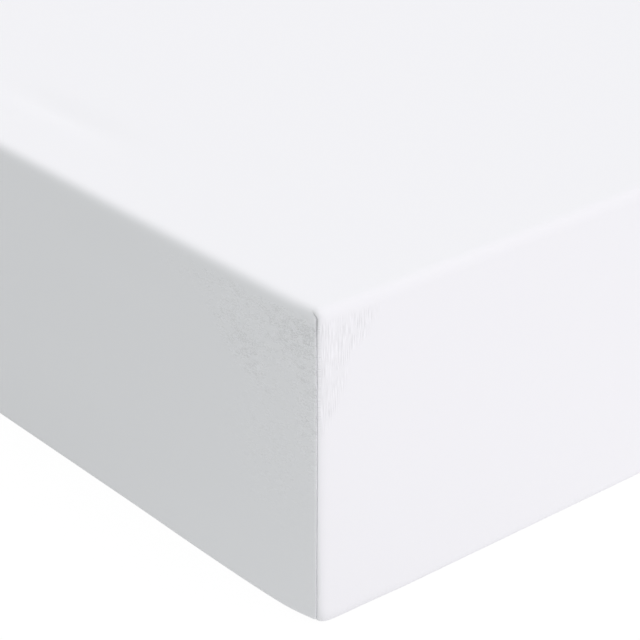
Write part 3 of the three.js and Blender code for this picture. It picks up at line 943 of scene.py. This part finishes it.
studio = {
    # red, green and blue of the sky in a direction: base + parts by x, y, z, x times x and x times y
    "base": (1.504, 1.464, 1.501),
    "x": (0.281, 0.270, 0.278),
    "y": (-0.078, -0.059, -0.073),
    "z": (-0.329, -0.308, -0.335),
    "xx": (-1.239, -1.136, -1.217),
    "xy": (-0.417, -0.372, -0.404),
    "floorSeen": 0.93,
    "floorLight": 0.69,  # what the floor sends back to the cloth
    "floorLightStep": 0.085,  # less beyond the long side at -X, more beyond the end at -Y
    "floorColour": (0.09, 0.09, 0.09, 1),
    "floorHalf": 30.0,
    "floorFade": 0.3,  # half the way over which its light changes
}


def lightSky():
    # the studio's sum for the direction, never below 0, and white where the camera sees it
    world = bpy.data.worlds.new("softStudio")
    bpy.context.scene.world = world
    world.use_nodes = True
    tree = world.node_tree
    tree.nodes.clear()
    way = addNode(tree, "ShaderNodeTexCoord").outputs["Generated"]
    parts = addNode(tree, "ShaderNodeSeparateXYZ", {"Vector": way})
    factors = dict(zip("xyz", parts.outputs))
    factors["xx"] = calculate(tree, "MULTIPLY", factors["x"], factors["x"])
    factors["xy"] = calculate(tree, "MULTIPLY", factors["x"], factors["y"])
    total = studio["base"]
    for key, factor in factors.items():
        total = addNode(
            tree, "ShaderNodeVectorMath", {0: factor, 1: studio[key], 2: total}, operation="MULTIPLY_ADD"
        ).outputs[0]
    kept = addNode(tree, "ShaderNodeVectorMath", {0: total, 1: (0, 0, 0)}, operation="MAXIMUM").outputs[0]
    seen = addNode(tree, "ShaderNodeLightPath").outputs["Is Camera Ray"]
    shown = addNode(tree, "ShaderNodeMix", {0: seen, 6: kept, 7: (1, 1, 1, 1)}, data_type="RGBA").outputs[2]
    background = addNode(tree, "ShaderNodeBackground", {"Color": shown})
    addNode(tree, "ShaderNodeOutputWorld", {"Surface": background.outputs[0]})


def layFloor():
    # Its glow is even to the camera. To the cloth it changes in a straight line across the corner in view.
    material, tree = newMaterial("paleFloor")
    seen = addNode(tree, "ShaderNodeLightPath").outputs["Is Camera Ray"]
    place = addNode(tree, "ShaderNodeTexCoord").outputs["Object"]
    parts = addNode(tree, "ShaderNodeSeparateXYZ", {"Vector": place})
    beyond = calculate(tree, "SUBTRACT", parts.outputs[0], parts.outputs[1])
    corner = cloth["halfY"] - cloth["halfX"]
    light = addNode(tree, "ShaderNodeMapRange", {
        "Value": beyond,
        "From Min": corner - studio["floorFade"],
        "From Max": corner + studio["floorFade"],
        "To Min": studio["floorLight"] - studio["floorLightStep"],
        "To Max": studio["floorLight"] + studio["floorLightStep"],
    }).outputs[0]
    strength = addNode(tree, "ShaderNodeMix", {0: seen, 2: light, 3: studio["floorSeen"]}).outputs[0]
    glow = addNode(tree, "ShaderNodeEmission", {"Strength": strength})
    paint = addNode(tree, "ShaderNodeBsdfDiffuse", {"Color": studio["floorColour"]})
    both = addNode(tree, "ShaderNodeAddShader", {0: glow.outputs[0], 1: paint.outputs[0]})
    addNode(tree, "ShaderNodeOutputMaterial", {"Surface": both.outputs[0]})
    reach = studio["floorHalf"]
    mesh = bpy.data.meshes.new("floor")
    corners = [(-reach, -reach, 0), (reach, -reach, 0), (reach, reach, 0), (-reach, reach, 0)]
    mesh.from_pydata(corners, [], [(0, 1, 2, 3)])
    mesh.materials.append(material)
    floor = bpy.data.objects.new("floor", mesh)
    bpy.context.scene.collection.objects.link(floor)


lightSky()
layFloor()
bpy.context.scene.view_settings.view_transform = "Standard"
print("studio: sky and floor")

view = {
    "place": (-1.1492, -1.8327, 0.7458),
    "down": 26.97,  # degrees below the horizon
    "right": 40.10,  # degrees from +Y towards +X
    "lens": 131.34,  # millimetres
    "sensor": 36,
}
cameraData = bpy.data.cameras.new("camera")
cameraData.lens = view["lens"]
cameraData.sensor_width = view["sensor"]
camera = bpy.data.objects.new("camera", cameraData)
camera.location = view["place"]
camera.rotation_euler = (math.radians(90 - view["down"]), 0, math.radians(-view["right"]))
bpy.context.scene.collection.objects.link(camera)
bpy.context.scene.camera = camera
print("camera")
